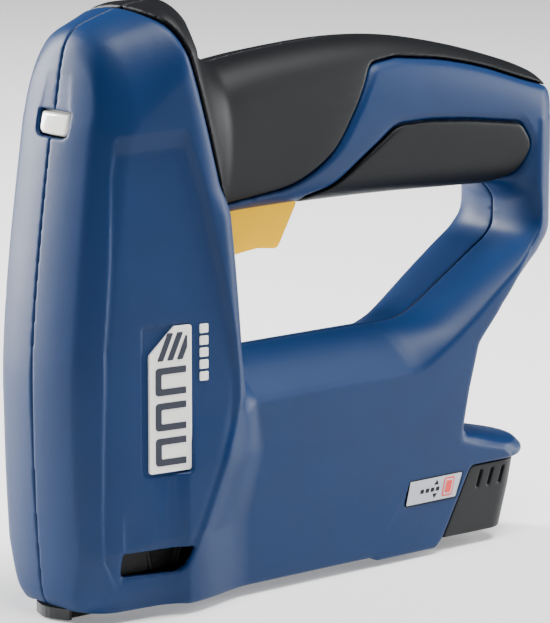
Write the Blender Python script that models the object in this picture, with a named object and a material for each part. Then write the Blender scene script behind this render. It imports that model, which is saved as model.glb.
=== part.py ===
"""Battery staple gun with a D handle: moulded halves, drive, feed and switch, each piece its own object.

Frame: X runs along the tool with the nose at -X, Y across it, Z up. The origin is at the bottom centre of
the whole tool. Outlines are in millimetres; MM turns them into metres.
"""

import math

import bmesh
import bpy
from mathutils import Matrix, Vector

MM = 0.001

# Driving dimensions, in millimetres.
WALL = 2.6  # moulded wall
GRIP = 2.2  # thickness of the soft grip skins
GAP = 0.3  # clearance between pieces that touch
PARTING = 0.15  # each half stops this far from the middle plane
FLARE = math.radians(10.5)  # how far the head's sides open towards the back
FRONT_X = -102.6
REAR_X = 102.6
TOP_Z = 182.1
SOLE_Z = 2.6  # underside of the blue base
FOOT_Z = 1.3  # underside of the heel
BASE_HALF = 20.5
SHOULDER_HALF = 21.5
SHOULDER_Z = 60.0
BAR_CREST_Z = 72.9
HANDLE_CAVITY = 5.0

BLADE_X = -93.5
HAMMER_X = -82.0
HAMMER_LOW_Z = 52.0
HAMMER_HEIGHT = 14.0
HAMMER_LIFT = 14.0
FRAME_Y = 8.0  # inner face of each drive frame plate
FRAME_THICK = 1.2
SPRING_RADIUS = 5.4
SPRING_WIRE = 1.1

CAM_X, CAM_Z = -74.0, 45.0
CAM_LOW = 8.0
CAM_SWEEP = math.radians(300)
PIN_RADIUS = 5.0
SHAFT_RADIUS = 3.0
AXLE_RADIUS = 1.6
FINE, COARSE = 0.8, 1.0  # gear modules
MOTOR_TEETH, FIRST_TEETH = 10, 40
FIRST_SMALL, SECOND_TEETH = 12, 36
SECOND_SMALL, CAM_TEETH = 10, 40
SECOND_X, SECOND_Z = -57.9, 64.15
MOTOR_X, MOTOR_Z = -59.5, 100.0
MOTOR_RADIUS = 12.0

RAIL_FRONT_X, RAIL_REAR_X = -84.0, 46.4
CELL_RADIUS, CELL_LENGTH = 9.0, 65.0
SCREW_SHANK, SCREW_HEAD, BOSS = 1.5, 3.3, 4.6

# Where each housing screw goes: x, z and the y of the seat under its head.
SCREWS = (
    (-93.5, 94.5, 17.5),
    (-66.0, 163.0, 19.0),
    (-47.5, 24.0, 25.0),
    (19.0, 146.0, 11.5),
    (96.0, 125.0, 8.0),
    (46.0, 56.0, 16.0),
)

# Side outlines as corners (x, z, radius), anticlockwise.
HEAD_SIDE = (
    (-97.9, SOLE_Z + 0.15, 2), (-30, SOLE_Z + 0.15, 2), (-34, 60, 0), (-38, 76, 0), (-44, 105.5, 0), (-43.4, 122, 4),
    (-36, 160, 0), (-44, 177, 14), (-57, 183, 20), (-84, 177.3, 10), (-91.6, 164, 20),
    (-95.2, 140, 60), (FRONT_X - 0.1, 84, 80), (FRONT_X + 0.3, 38, 80), (-99.6, 9, 6),
)
HEAD_CAVITY_SIDE = (
    (-94.5, 5.4, 2), (-36, 5.4, 2), (-41, 72, 0), (-47, 106, 0), (-49.5, 120, 6),
    (-57.5, 160, 6), (-64, 174.5, 8), (-83, 172, 8), (-89, 160, 20),
    (-92.4, 138, 60), (-99.8, 84, 80), (-99.6, 38, 80), (-97, 12, 6),
)
HEAD_PLAN = (
    (-106.45, 0, 52), (-97.8, -22, 8), (-44, -32, 9), (-35, -17, 12), (-35, 17, 12),
    (-44, 32, 9), (-97.8, 22, 8),
)
HEAD_FRONT = ((-33, 0, 0), (33, 0, 0), (30.5, TOP_Z + 0.4, 25), (-30.5, TOP_Z + 0.4, 25))
BASE_SIDE = (
    (-60, SOLE_Z, 0), (16, SOLE_Z, 0.5), (18.5, FOOT_Z, 0.5), (43.5, FOOT_Z, 2), (46, 4, 2),
    (58, 26, 3), (86.5, 26, 1), (92.5, 27.2, 1.5), (87, 30.5, 3), (70.5, 33.6, 3), (68, 42, 10),
    (72.8, 63, 6), (70, 75, 0), (-60, 75, 0),
)
BASE_CAVITY_SIDE = (
    (-60, 5.7, 0), (42, 5.7, 2), (54, 29, 3), (65, 31.5, 3), (64.6, 42, 10), (69, 62, 6), (66, 72, 3), (-60, 72, 0),
)
BASE_FRONT = (
    (-BASE_HALF, 0, 0), (BASE_HALF, 0, 0), (BASE_HALF, 26, 20), (SHOULDER_HALF, SHOULDER_Z, 0),
    (SHOULDER_HALF, 80, 0), (-SHOULDER_HALF, 80, 0), (-SHOULDER_HALF, SHOULDER_Z, 0), (-BASE_HALF, 26, 20),
)
BASE_PLAN = (
    (-70, -30, 0), (-30, -22, 0), (84, -20.5, 12), (93.5, -6, 14), (93.5, 6, 14), (84, 20.5, 12),
    (-30, 22, 0), (-70, 30, 0),
)
BOW_SIDE = (
    (20, 48, 0), (67.5, 48, 0), (73.4, 66, 8), (REAR_X, 92, 14), (REAR_X, 142, 6), (84, 142, 0), (20, 80, 0),
)
BOW_FRONT = (
    (-12, 42, 0), (12, 42, 0), (21.3, 63, 0), (20.4, 84, 0), (17.9, 100, 20), (17.9, 131, 14),
    (8, 145, 8), (-8, 145, 8), (-17.9, 131, 14), (-17.9, 100, 20), (-20.4, 84, 0), (-21.3, 63, 0),
)
# Lower edge of the finger opening as corners (x, z): along the middle plane, and at the shoulder's half-width.
OPENING_MIDDLE = ((34, BAR_CREST_Z), (45, 74), (54, 77.7), (62.4, 83.9), (78, 93.4), (86, 97.8), (89.6, 104))
OPENING_EDGE = ((31, SHOULDER_Z), (42.6, 65.6), (51, 71), (60, 77), (77, 89), (86, 96), (89.6, 103))
BOW_PLAN = (
    (0, -25, 0), (92, -21, 14), (REAR_X + 0.6, -7, 10), (REAR_X + 0.6, 7, 10), (92, 21, 14), (0, 25, 0),
)
# Handle sections along X: x, underside, crest, half-width.
HANDLE_SECTIONS = (
    (-48, 115.1, 158.5, 18.2), (-36, 115.1, 161.4, 18.0), (-18, 115.3, 163.5, 17.6), (11, 115.1, 165.2, 17.4),
    (36, 114.5, 163.9, 17.5), (60, 113.5, 159.4, 17.7), (82, 112.6, 153.3, 17.8), (94, 112.2, 148.9, 17.0),
    (100, 113.5, 145.2, 14.0), (102.2, 118.0, 142.0, 9.0),
)
FRONT_GRIP_SIDE = (
    (-46.5, 118.8, 2), (-16, 121.4, 20), (4, 132.5, 25), (18.5, 157, 7), (34, 158.6, 15), (62, 154.6, 60),
    (104, 140.5, 0), (110, 195, 0), (-68, 195, 0), (-60.2, 172, 0),
)
REAR_GRIP_SIDE = (
    (-3.6, 105, 0), (72, 105, 0), (79.5, 113, 6), (87, 125, 7), (81, 134.6, 6), (52, 139.2, 40),
    (24, 139.5, 12), (5, 120.5, 12), (-3.3, 117.4, 1),
)
# Nose plate as corners (x, y, radius), and the way cut for it in the housing.
NOSE_PLAN = ((-99.2, 0, 11), (-95.6, -7.8, 1.6), (-94.3, -7.8, 0), (-94.3, 7.8, 0), (-95.6, 7.8, 1.6))
NOSE_PLAN_CUT = ((-100.2, 0, 12), (-96.4, -8.2, 1.6), (-90, -8.2, 0), (-90, 8.2, 0), (-96.4, 8.2, 1.6))
NOSE_WAY = ((-95.4, -8.1, 0.5), (-83.6, -8.1, 0), (-83.6, 8.1, 0), (-95.4, 8.1, 0.5))
TRIGGER_SIDE = (
    (-36, 102, 1.5), (-20.5, 103.6, 4), (-12.4, 102.6, 2.2), (-5, 115.4, 0.6), (-5, 122.5, 1), (-36, 122.5, 1),
)
CAP_SIDE = (
    (46.9, FOOT_Z + 2.4, 0.4), (58.6, 25.6, 2.6), (86.0, 25.6, 1.2), (83.2, 17, 30), (79.2, 3.9, 5), (66, 3.6, 0),
)
CAP_PLAN = ((40, -18.9, 0), (88, -18.9, 9), (88, 18.9, 9), (40, 18.9, 0))
SLOT_SIDE = ((-88.4, 15.2, 2), (-67, 14.4, 3.5), (-61.6, 22, 0.4), (-88.4, 22.1, 0.4))
LABEL_SIDE = ((29.2, 17.4, 0.4), (50.3, 17.4, 0.4), (53.4, 24.8, 0.4), (31.1, 24.8, 0.4))


def clear_scene():
    for obj in list(bpy.data.objects):
        bpy.data.objects.remove(obj)


def collection(name):
    made = bpy.data.collections.new(name)
    bpy.context.scene.collection.children.link(made)
    return made


def material(name, colour, roughness, metallic=0.0):
    made = bpy.data.materials.new(name)
    made.use_nodes = True
    shader = made.node_tree.nodes["Principled BSDF"]
    shader.inputs["Base Color"].default_value = (*colour, 1)
    shader.inputs["Roughness"].default_value = roughness
    shader.inputs["Metallic"].default_value = metallic
    return made


# ---------------------------------------------------------------- outlines


def rounded(corners, step=math.radians(15)):
    """The outline through corners (a, b, radius), each corner turned into an arc of its radius."""
    points = []
    for i, (a, b, radius) in enumerate(corners):
        corner = Vector((a, b))
        before = Vector(corners[i - 1][:2]) - corner
        after = Vector(corners[(i + 1) % len(corners)][:2]) - corner
        shorter = min(before.length, after.length)
        before.normalize()
        after.normalize()
        turn = math.pi - before.angle(after)
        if radius <= 0 or turn < 1e-3:
            points.append(corner)
            continue
        reach = min(radius * math.tan(turn / 2), 0.49 * shorter)
        radius = reach / math.tan(turn / 2)
        start = corner + before * reach
        centre = corner + (before + after).normalized() * radius / math.cos(turn / 2)
        side = 1 if before.cross(after) < 0 else -1
        pieces = max(1, math.ceil(turn / step))
        for k in range(pieces + 1):
            spin = Matrix.Rotation(side * turn * k / pieces, 2)
            points.append(centre + spin @ (start - centre))
    return points


def inset(corners, distance):
    """The corners of an outline moved inwards by a distance, with their radii changed to match."""
    moved = []
    for i, (a, b, radius) in enumerate(corners):
        corner = Vector((a, b))
        into = (corner - Vector(corners[i - 1][:2])).normalized()
        out = (Vector(corners[(i + 1) % len(corners)][:2]) - corner).normalized()
        normal = Vector((-into.y - out.y, into.x + out.x)).normalized()
        slide = distance / max(0.2, normal.dot(Vector((-into.y, into.x))))
        convex = into.cross(out) > 0
        new_radius = max(0.0, radius - distance) if convex else radius + distance * (radius > 0)
        moved.append((*(corner + normal * slide), new_radius))
    return moved


def circle(a, b, radius, sides=16):
    turns = (2 * math.pi * (k + 0.5) / sides for k in range(sides))
    return [Vector((a + radius * math.cos(t), b + radius * math.sin(t))) for t in turns]


def gear_outline(teeth, module, phase=0.0):
    """A spur gear as straight-sided teeth with the backlash of a moulded gear."""
    pitch, points = teeth * module / 2, []
    shape = ((-0.250, -1.25), (-0.205, 0.0), (-0.105, 0.9), (0.105, 0.9), (0.205, 0.0), (0.250, -1.25))
    for tooth in range(teeth):
        for share, height in shape:
            turn = phase + 2 * math.pi * (tooth + share) / teeth
            radius = pitch + height * module
            points.append(Vector((radius * math.cos(turn), radius * math.sin(turn))))
    return points


# ---------------------------------------------------------------- solids


def mesh_object(name, mesh):
    made = bpy.data.objects.new(name, mesh)
    bpy.context.scene.collection.objects.link(made)
    return made


def baked(obj):
    """The object as a plain mesh of its own, in world space, with loose seams welded."""
    from_curve = obj.type == "CURVE"
    graph = bpy.context.evaluated_depsgraph_get()
    graph.update()
    mesh = bpy.data.meshes.new_from_object(obj.evaluated_get(graph))
    mesh.transform(obj.matrix_world)
    name = obj.name
    bpy.data.objects.remove(obj)
    work = bmesh.new()
    work.from_mesh(mesh)
    bmesh.ops.remove_doubles(work, verts=work.verts, dist=1e-6)
    if from_curve:
        bmesh.ops.recalc_face_normals(work, faces=work.faces)
    work.to_mesh(mesh)
    work.free()
    made = mesh_object(name, mesh)
    made.name = name
    return made


def prism(name, outline, low, high, axis="Y"):
    """A flat outline drawn out from low to high along an axis. Y takes (x, z), Z takes (x, y), X takes (y, z)."""
    curve = bpy.data.curves.new(name, "CURVE")
    curve.dimensions = "2D"
    curve.fill_mode = "BOTH"
    curve.extrude = (high - low) / 2 * MM
    spline = curve.splines.new("POLY")
    spline.points.add(len(outline) - 1)
    for point, place in zip(spline.points, outline):
        point.co = (place[0] * MM, place[1] * MM, 0, 1)
    spline.use_cyclic_u = True
    made = bpy.data.objects.new(name, curve)
    bpy.context.scene.collection.objects.link(made)
    middle = (low + high) / 2 * MM
    if axis == "Y":
        made.matrix_world = Matrix.Translation((0, middle, 0)) @ Matrix.Rotation(math.pi / 2, 4, "X")
    elif axis == "X":
        turn = Matrix(((0, 0, 1), (1, 0, 0), (0, 1, 0))).to_4x4()
        made.matrix_world = Matrix.Translation((middle, 0, 0)) @ turn
    else:
        made.matrix_world = Matrix.Translation((0, 0, middle))
    bpy.context.view_layer.update()
    return baked(made)


def box(name, low, high):
    mesh = bpy.data.meshes.new(name)
    work = bmesh.new()
    bmesh.ops.create_cube(work, size=1)
    low, high = Vector(low) * MM, Vector(high) * MM
    size = high - low
    place = Matrix.Translation((low + high) / 2) @ Matrix.Diagonal((*size, 1))
    bmesh.ops.transform(work, matrix=place, verts=work.verts)
    work.to_mesh(mesh)
    work.free()
    return mesh_object(name, mesh)


def rod(name, radius, start, end, sides=16):
    start, end = Vector(start) * MM, Vector(end) * MM
    along = end - start
    mesh = bpy.data.meshes.new(name)
    work = bmesh.new()
    bmesh.ops.create_cone(
        work, cap_ends=True, segments=sides, radius1=radius * MM, radius2=radius * MM, depth=along.length,
    )
    place = Matrix.Translation((start + end) / 2) @ along.to_track_quat("Z", "Y").to_matrix().to_4x4()
    bmesh.ops.transform(work, matrix=place, verts=work.verts)
    work.to_mesh(mesh)
    work.free()
    return mesh_object(name, mesh)


def loft(name, rings):
    """A closed skin through rings of equally many points, with flat ends."""
    mesh = bpy.data.meshes.new(name)
    work = bmesh.new()
    rows = [[work.verts.new(Vector(point) * MM) for point in ring] for ring in rings]
    for row, following in zip(rows, rows[1:]):
        for k in range(len(row)):
            other = (k + 1) % len(row)
            work.faces.new((row[k], row[other], following[other], following[k]))
    work.faces.new(rows[0][::-1])
    work.faces.new(rows[-1])
    bmesh.ops.recalc_face_normals(work, faces=work.faces)
    work.to_mesh(mesh)
    work.free()
    return mesh_object(name, mesh)


def coil(name, start, end, radius, wire, turns, steps=10, smooth=0):
    """A compression spring between two points, as a wire along a helix."""
    start, end = Vector(start), Vector(end)
    along = (end - start).normalized()
    side = along.orthogonal().normalized()
    other = along.cross(side)
    count = int(turns * steps) + 1
    curve = bpy.data.curves.new(name, "CURVE")
    curve.dimensions = "3D"
    curve.bevel_depth = wire * MM
    curve.bevel_resolution = smooth
    curve.use_fill_caps = True
    spline = curve.splines.new("POLY")
    spline.points.add(count - 1)
    for k, point in enumerate(spline.points):
        share = k / (count - 1)
        turn = 2 * math.pi * turns * share
        round_axis = side * math.cos(turn) + other * math.sin(turn)
        place = start.lerp(end, share) + round_axis * radius
        point.co = (*(place * MM), 1)
    made = bpy.data.objects.new(name, curve)
    bpy.context.scene.collection.objects.link(made)
    bpy.context.view_layer.update()
    return baked(made)


def combine(target, tools, operation):
    """The target joined with, cut by or kept inside each tool in turn; the tools are used up."""
    name = target.name
    for tool in tools:
        modifier = target.modifiers.new("combine", "BOOLEAN")
        modifier.operation = operation
        modifier.solver = "EXACT"
        modifier.object = tool
        bpy.context.view_layer.update()
        target = baked(target)
        bpy.data.objects.remove(tool)
    target.name = name
    return target


def join(target, *tools):
    return combine(target, tools, "UNION")


def cut(target, *tools):
    return combine(target, tools, "DIFFERENCE")


def keep_inside(target, *tools):
    return combine(target, tools, "INTERSECT")


def copy_of(obj, name):
    return mesh_object(name, obj.data.copy())


def mirrored(obj, name):
    """A copy on the other side of the middle plane, with its faces still turned out."""
    mesh = obj.data.copy()
    mesh.transform(Matrix.Diagonal((1, -1, 1, 1)))
    mesh.flip_normals()
    return mesh_object(name, mesh)


# ---------------------------------------------------------------- moulded body


def handle_loft(name, depth):
    """The grip bar as a skin through rounded sections, taken in by a depth."""
    rings = []
    for x, low, high, half in HANDLE_SECTIONS:
        middle, rise = (low + high) / 2, (high - low) / 2 - depth
        ring = []
        for k in range(24):
            turn = 2 * math.pi * (k + 0.5) / 24
            c, s = math.cos(turn), math.sin(turn)
            scale = (abs(c) ** 2.5 + abs(s) ** 2.5) ** (-1 / 2.5)
            ring.append((x - depth * (x > 90), (half - depth) * c * scale, middle + rise * s * scale))
        rings.append(ring)
    return loft(name, rings)


def clipped(name, side, plan, front, low, high):
    """What three outlines have in common: side (x, z), plan (x, y) and front (y, z), between two heights."""
    solid = prism(name, rounded(side), -40, 40)
    plan = prism("plan", rounded(plan), low, high, "Z")
    return keep_inside(solid, plan, prism("front", rounded(front), -120, 115, "X"))


def opening(depth):
    """The finger opening, its lower edge crowned across Y, grown by a depth."""
    rings = []
    for y in range(-24, 25, 6):
        sag = (y / SHOULDER_HALF) ** 2
        low = [Vector(a).lerp(Vector(b), sag) for a, b in zip(OPENING_MIDDLE, OPENING_EDGE)]
        corners = [(-80, low[0].y, 0), *((place.x, place.y, 0) for place in low), (89.6, 160, 0), (-80, 160, 0)]
        rings.append([(x, y, z) for x, z, _ in inset(corners, -depth)])
    return loft("opening", rings)


def body_volume(name, depth=0.0, head_side=HEAD_SIDE, base_side=BASE_SIDE, handle_depth=None):
    """The whole moulded form taken in by a depth: head, base, bow and handle run into each other."""
    head = clipped(name, inset(head_side, depth), inset(HEAD_PLAN, depth), inset(HEAD_FRONT, depth), -1, 190)
    base = clipped("base", inset(base_side, depth), inset(BASE_PLAN, depth), inset(BASE_FRONT, depth), -1, 80)
    bow = clipped("bow", inset(BOW_SIDE, depth), inset(BOW_PLAN, depth), inset(BOW_FRONT, depth), 30, 160)
    lower = cut(join(base, bow), opening(depth))
    return join(head, lower, handle_loft("bar", depth if handle_depth is None else handle_depth))


def cavity_volume(name):
    head_side, base_side = inset(HEAD_CAVITY_SIDE, -WALL), inset(BASE_CAVITY_SIDE, -WALL)
    return body_volume(name, WALL, head_side, base_side, HANDLE_CAVITY)


def grip_core(depth):
    """What lies under a grip skin. The base's own tail is too thin to take in, so the cavity's side stands in."""
    return body_volume("core", depth, base_side=BASE_CAVITY_SIDE)


def grip_skin(name, body, side):
    """The outer layer of the body inside a side outline."""
    skin = keep_inside(copy_of(body, name), prism("side", rounded(side), -40, 40))
    return cut(skin, grip_core(GRIP))


def grip_pocket(side):
    """What the housing gives up for a grip skin."""
    return cut(prism("pocket", rounded(inset(side, -GAP)), -41, 41), grip_core(GRIP + GAP))


def side_plate(name, outline, half_width, out, depth):
    """A thin plate on the left side, lying on a face at half_width that flares with the head."""
    return prism(name, outline, -half_width - out, -half_width + depth)


def flared(obj, pivot_x, half_width):
    """Turns a left-side piece to lie along the head's flared side."""
    pivot = Vector((pivot_x, -half_width, 0)) * MM
    turn = Matrix.Translation(pivot) @ Matrix.Rotation(-FLARE, 4, "Z") @ Matrix.Translation(-pivot)
    obj.data.transform(turn)
    return obj


def both_sides(obj):
    return obj, mirrored(obj, obj.name + "_other")


def head_half_width(x):
    """Half the head's width at x along its flared sides."""
    return 22.6 + math.tan(FLARE) * (x + 94.5)


def badge_plate(name, margin, out, depth):
    x = -72.0
    corners = ((x - 7.8, 44.5, 1.2), (x + 7.8, 44.5, 1.2), (x + 7.8, 89, 1.2), (x - 7.8, 89, 1.2))
    half = head_half_width(x)
    return flared(side_plate(name, rounded(inset(corners, -margin)), half, out, depth), x, half)


def label_plate(name, margin, out, depth):
    return side_plate(name, rounded(inset(LABEL_SIDE, -margin)), BASE_HALF, out, depth)


def slot_cutter(name):
    x = -75.0
    half = head_half_width(x)
    return flared(side_plate(name, rounded(SLOT_SIDE), half, 8, 5.5), x, half)


def slot_backing(name):
    x = -75.0
    corners = ((-91, 11.5, 1), (-60, 11.5, 1), (-60, 25, 1), (-91, 25, 1))
    half = head_half_width(x) - WALL - GAP
    return flared(side_plate(name, rounded(corners), half, 0, 1.4), x, head_half_width(x))


def lens_outline(margin):
    corners = ((-7.9, 143.2, 2.6), (7.9, 143.2, 2.6), (7.9, 152.0, 0.5), (-7.9, 152.0, 0.5))
    return rounded(inset(corners, -margin))


def screw_bosses():
    bosses = []
    for i, (x, z, _) in enumerate(SCREWS):
        post = rod(f"boss_{i}", BOSS, (x, -34, z), (x, 34, z))
        bosses.append(keep_inside(post, body_volume("limit", WALL / 2)))
    return bosses


def screw_holes():
    holes = []
    for i, (x, z, seat) in enumerate(SCREWS):
        holes.append(rod(f"shank_{i}", SCREW_SHANK + GAP, (x, -7, z), (x, 40, z), 12))
        holes.append(rod(f"head_{i}", SCREW_HEAD + GAP, (x, seat, z), (x, 40, z), 16))
    return holes


def housing_cutters():
    """Everything taken out of the moulded body: pockets, openings and screw holes."""
    cutters = [
        grip_pocket(FRONT_GRIP_SIDE),
        grip_pocket(REAR_GRIP_SIDE),
        prism("nose_way", rounded(NOSE_WAY), 0, 8, "Z"),
        prism("toe_way", rounded(NOSE_PLAN_CUT), 0, 3.9, "Z"),
        box("channel_way", (-84, -8.1, 0), (70, 8.1, 9)),
        box("rail_way", (40, -8.1, 8), (70, 8.1, 18.8)),
        prism("window", lens_outline(0.3), -110, -84, "X"),
        box("trigger_way", (-36.6, -7.2, 108), (-4.4, 7.2, 122)),
        box("flange_way", (-36.6, -8.9, 120.7), (-4.4, 8.9, 126)),
        rod("socket_way", 5.8, (60, 0, 50), (80, 0, 50), 20),
    ]
    for pocket in (
        badge_plate("badge_pocket", GAP, 1, 0.6 + GAP),
        label_plate("label_pocket", GAP, 2, 0.6 + GAP),
        slot_cutter("slot_way"),
    ):
        cutters += both_sides(pocket)
    return cutters + screw_holes()


def housing(body):
    shell = copy_of(body, "shell")
    shell = cut(shell, cavity_volume("cavity"))
    shell = join(shell, *screw_bosses())
    shell = cut(shell, *housing_cutters())
    left = keep_inside(copy_of(shell, "housing_left"), box("near", (-120, -50, -10), (120, -PARTING, 200)))
    right = keep_inside(shell, box("far", (-120, PARTING, -10), (120, 50, 200)))
    right.name = "housing_right"
    return [left, right]


def grips(body):
    made = []
    for part, side in (("grip_front", FRONT_GRIP_SIDE), ("grip_rear", REAR_GRIP_SIDE)):
        skin = grip_skin(part, body, side)
        left = keep_inside(skin, box("near", (-120, -50, 0), (120, -PARTING, 200)))
        left.name = part + "_left"
        made += [left, mirrored(left, part + "_right")]
    return made


def trim():
    badge = badge_plate("badge_left", 0, 0.25, 0.6)
    label = label_plate("label_left", 0, 0.1, 0.6)
    backing = slot_backing("slot_backing_left")
    copies = [mirrored(piece, piece.name.replace("left", "right")) for piece in (badge, label, backing)]
    return [badge, label, backing, *copies]


def screws():
    made = []
    for i, (x, z, seat) in enumerate(SCREWS):
        screw = rod(f"housing_screw_{i + 1}", SCREW_SHANK, (x, -6, z), (x, seat + 1, z), 10)
        head = rod("head", SCREW_HEAD, (x, seat + GAP, z), (x, seat + GAP + 2.2, z), 14)
        made.append(join(screw, head))
    return made


# ---------------------------------------------------------------- drive


def drive_frames():
    side = (
        (-88, 24, 2), (-53, 24, 2), (-52.5, 85.5, 2), (-73.6, 85.5, 2), (-73.6, 118, 2), (-88, 118, 2),
    )
    left = prism("drive_frame_left", rounded(side), -FRAME_Y - FRAME_THICK, -FRAME_Y)
    cam_hole = circle(CAM_X, CAM_Z, SHAFT_RADIUS + GAP)
    slot = rounded(((CAM_X - 2.4, 55, 2), (CAM_X + 2.4, 55, 2), (CAM_X + 2.4, 76, 2), (CAM_X - 2.4, 76, 2)))
    left = cut(left, prism("hole", cam_hole, -20, 0), prism("slot", slot, -20, 0))
    right = prism("drive_frame_right", rounded(side), FRAME_Y, FRAME_Y + FRAME_THICK)
    holes = [prism("hole", cam_hole, 0, 20)]
    for x, z in (first_centre(), (SECOND_X, SECOND_Z)):
        holes.append(prism("hole", circle(x, z, AXLE_RADIUS + GAP, 12), 0, 20))
    return [left, cut(right, *holes)]


def first_centre():
    """Where the first wheel meshes with both the motor pinion and the second wheel."""
    to_motor = FINE * (MOTOR_TEETH + FIRST_TEETH) / 2
    to_second = FINE * (FIRST_SMALL + SECOND_TEETH) / 2
    second, motor = Vector((SECOND_X, SECOND_Z)), Vector((MOTOR_X, MOTOR_Z))
    span = (motor - second).length
    along = (to_second**2 - to_motor**2 + span**2) / (2 * span)
    off = math.sqrt(to_second**2 - along**2)
    way = (motor - second) / span
    place = second + way * along + Vector((-way.y, way.x)) * off
    return place.x, place.y


def meshing_phase(teeth, centre, partner, partner_teeth, partner_phase):
    """The phase that puts one of this gear's gaps on the partner's tooth along their line of centres."""
    way = math.atan2(centre[1] - partner[1], centre[0] - partner[0])
    shift = ((way - partner_phase) * partner_teeth / (2 * math.pi)) % 1
    return way + math.pi + (shift + 0.5) * 2 * math.pi / teeth


def gear(name, teeth, module, centre, low, high, phase):
    made = prism(name, gear_outline(teeth, module, phase), low, high)
    made.data.transform(Matrix.Translation(Vector((centre[0], 0, centre[1])) * MM))
    return made


def drive_gears():
    cam, second, first, motor = (CAM_X, CAM_Z), (SECOND_X, SECOND_Z), first_centre(), (MOTOR_X, MOTOR_Z)
    cam_gear = gear("cam_gear", CAM_TEETH, COARSE, cam, 10, 13.6, 0)
    cam_gear = cut(cam_gear, prism("hole", circle(*cam, SHAFT_RADIUS + GAP), 0, 30))
    small_phase = meshing_phase(SECOND_SMALL, second, cam, CAM_TEETH, 0)
    second_gear = gear("second_gear", SECOND_SMALL, COARSE, second, 9.7, 14.4, small_phase)
    second_gear = join(second_gear, gear("wheel", SECOND_TEETH, FINE, second, 14.2, 17.0, 0))
    second_gear = cut(second_gear, prism("hole", circle(*second, AXLE_RADIUS + GAP, 12), 0, 30))
    small_phase = meshing_phase(FIRST_SMALL, first, second, SECOND_TEETH, 0)
    first_gear = gear("first_gear", FIRST_SMALL, FINE, first, 14.0, 17.8, small_phase)
    first_gear = join(first_gear, gear("wheel", FIRST_TEETH, FINE, first, 17.6, 20.4, 0))
    first_gear = cut(first_gear, prism("hole", circle(*first, AXLE_RADIUS + GAP, 12), 0, 30))
    phase = meshing_phase(MOTOR_TEETH, motor, first, FIRST_TEETH, 0)
    pinion = gear("motor_pinion", MOTOR_TEETH, FINE, motor, 17.4, 20.6, phase)
    pinion = join(pinion, rod("shaft", 1.0, (MOTOR_X, 14.3, MOTOR_Z), (MOTOR_X, 21.4, MOTOR_Z), 10))
    second_axle = rod("second_axle", AXLE_RADIUS, (second[0], 7.4, second[1]), (second[0], 18.4, second[1]), 10)
    first_axle = rod("first_axle", AXLE_RADIUS, (first[0], 7.4, first[1]), (first[0], 21.2, first[1]), 10)
    return [cam_gear, second_gear, first_gear, pinion, second_axle, first_axle]


def snail_outline():
    """A spiral that lifts evenly with the angle, then drops back within 16 degrees. Rest faces up."""
    points, steps, drop = [], 30, math.radians(16)
    for k in range(steps + 1):
        share = k / steps
        points.append((share * CAM_SWEEP, CAM_LOW + HAMMER_LIFT * share))
    for k in range(5):
        points.append((CAM_SWEEP + drop + (2 * math.pi - CAM_SWEEP - drop) * k / 5, CAM_LOW))
    # The angle grows towards +X from straight up, so a turn about +Y from the rest pose raises the follower.
    return [
        Vector((CAM_X - radius * math.sin(turn), CAM_Z + radius * math.cos(turn))) for turn, radius in points
    ]


def cam_parts():
    cam = prism("snail_cam", snail_outline(), -14.2, -10.2)
    cam = cut(cam, prism("hole", circle(CAM_X, CAM_Z, SHAFT_RADIUS + GAP), -30, 0))
    shaft = rod("cam_shaft", SHAFT_RADIUS, (CAM_X, -16, CAM_Z), (CAM_X, 15, CAM_Z), 16)
    return [cam, shaft]


def motor_parts():
    can = rod("motor_can", MOTOR_RADIUS, (MOTOR_X, -16, MOTOR_Z), (MOTOR_X, 12, MOTOR_Z), 28)
    boss = rod("boss", 3.5, (MOTOR_X, 11, MOTOR_Z), (MOTOR_X, 13.8, MOTOR_Z), 16)
    end = rod("motor_end_cap", MOTOR_RADIUS - 0.6, (MOTOR_X, -18.4, MOTOR_Z), (MOTOR_X, -16.3, MOTOR_Z), 24)
    return [join(can, boss), end]


def hammer_parts():
    low, high, half = HAMMER_LOW_Z, HAMMER_LOW_Z + HAMMER_HEIGHT, FRAME_Y - GAP
    hammer = box("hammer", (-92.6, -half, low), (-75, half, high))
    spring_seat = rod("seat", SPRING_RADIUS - 2.2, (HAMMER_X, 0, high - 0.2), (HAMMER_X, 0, high + 1.6), 14)
    ear = box("ear", (CAM_X - 6.5, -half, low + 3), (CAM_X + 2.6, half, high - 2))
    hammer = join(hammer, spring_seat, ear)
    pin_z = CAM_Z + CAM_LOW + PIN_RADIUS + 0.7
    arm = rod("cam_follower", 2.0, (CAM_X, -half - GAP, pin_z), (CAM_X, -15.4, pin_z), 12)
    follower = join(arm, rod("roll", PIN_RADIUS, (CAM_X, -14.2, pin_z), (CAM_X, -10.2, pin_z), 16))
    blade = box("driver_blade", (BLADE_X - 0.4, -5, 0.8), (BLADE_X + 0.4, 5, high - 2))
    return [hammer, follower, blade]


def spring_parts():
    bottom, top = HAMMER_LOW_Z + HAMMER_HEIGHT + SPRING_WIRE + GAP, 110.0
    spring = coil(
        "main_spring", (HAMMER_X, 0, bottom), (HAMMER_X, 0, top - SPRING_WIRE - GAP),
        SPRING_RADIUS, SPRING_WIRE, 7, 12, 1,
    )
    seat = box("spring_seat", (-90, -FRAME_Y + GAP, top), (-75.2, FRAME_Y - GAP, top + 5))
    guide = rod("guide", SPRING_RADIUS - 2.2, (HAMMER_X, 0, top - 24), (HAMMER_X, 0, top + 1), 14)
    return [spring, join(seat, guide)]


# ---------------------------------------------------------------- nose and feed


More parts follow.
